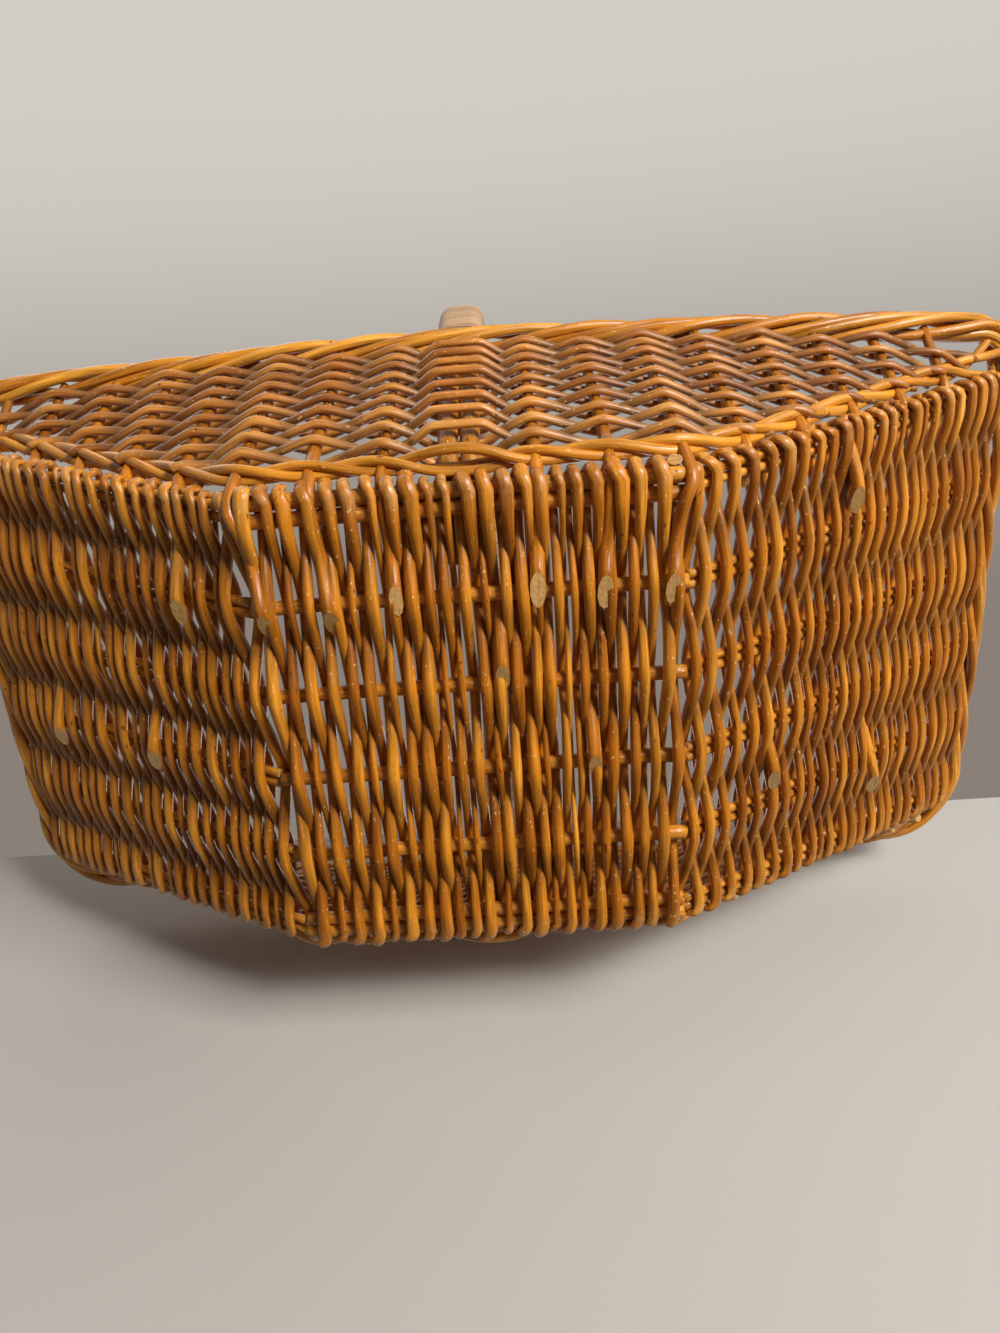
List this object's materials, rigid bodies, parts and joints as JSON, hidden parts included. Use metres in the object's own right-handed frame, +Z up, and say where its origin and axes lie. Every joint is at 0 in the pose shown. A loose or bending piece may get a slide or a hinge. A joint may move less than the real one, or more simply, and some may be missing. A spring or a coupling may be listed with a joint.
{
  "type": "garden basket",
  "caption": "Long shallow willow garden basket with a flat woven floor, rising ends, flared side walls, a twisted border and a fixed wrapped bow handle.",
  "frame": {"origin": "on the floor surface under the middle of the basket", "axes": "+X along the basket's length, +Z up through the handle"},
  "size_m": [0.5, 0.3098, 0.2904],
  "materials": {
    "base_weavers": "varnished buff willow, glossy",
    "wall_weavers": "varnished buff willow, glossy, a little darker",
    "sticks": "varnished willow rod, satin, pale cut ends",
    "border_rods": "varnished buff willow, glossy",
    "handle_strip": "flat split strip, matt"
  },
  "bodies": {
    "root": {"floor_weave": "base_weavers", "left_end_weave": "base_weavers", "right_end_weave": "base_weavers", "front_wall_weave": "wall_weavers", "back_wall_weave": "wall_weavers", "base_stick_1": "sticks", "base_stick_2": "sticks", "base_stick_3": "sticks", "base_stick_4": "sticks", "front_edge_stick_outer": "sticks", "front_edge_stick_inner": "sticks", "back_edge_stick_outer": "sticks", "back_edge_stick_inner": "sticks", "left_end_stakes_1": "sticks", "left_end_stakes_2": "sticks", "left_end_stakes_3": "sticks", "left_end_stakes_4": "sticks", "left_end_stakes_5": "sticks", "left_end_stakes_6": "sticks", "right_end_stakes_1": "sticks", "right_end_stakes_2": "sticks", "right_end_stakes_3": "sticks", "right_end_stakes_4": "sticks", "right_end_stakes_5": "sticks", "right_end_stakes_6": "sticks", "front_wall_stakes": "wall_weavers", "front_pairing_rod_1": "border_rods", "front_pairing_rod_2": "border_rods", "front_pairing_rod_3": "border_rods", "back_wall_stakes": "wall_weavers", "back_pairing_rod_1": "border_rods", "back_pairing_rod_2": "border_rods", "back_pairing_rod_3": "border_rods", "rim_front": "border_rods", "rim_back": "border_rods", "rim_left": "border_rods", "rim_right": "border_rods", "handle_bow_left": "sticks", "handle_bow_right": "sticks", "handle_wrap": "handle_strip"}
  },
  "joints": []
}
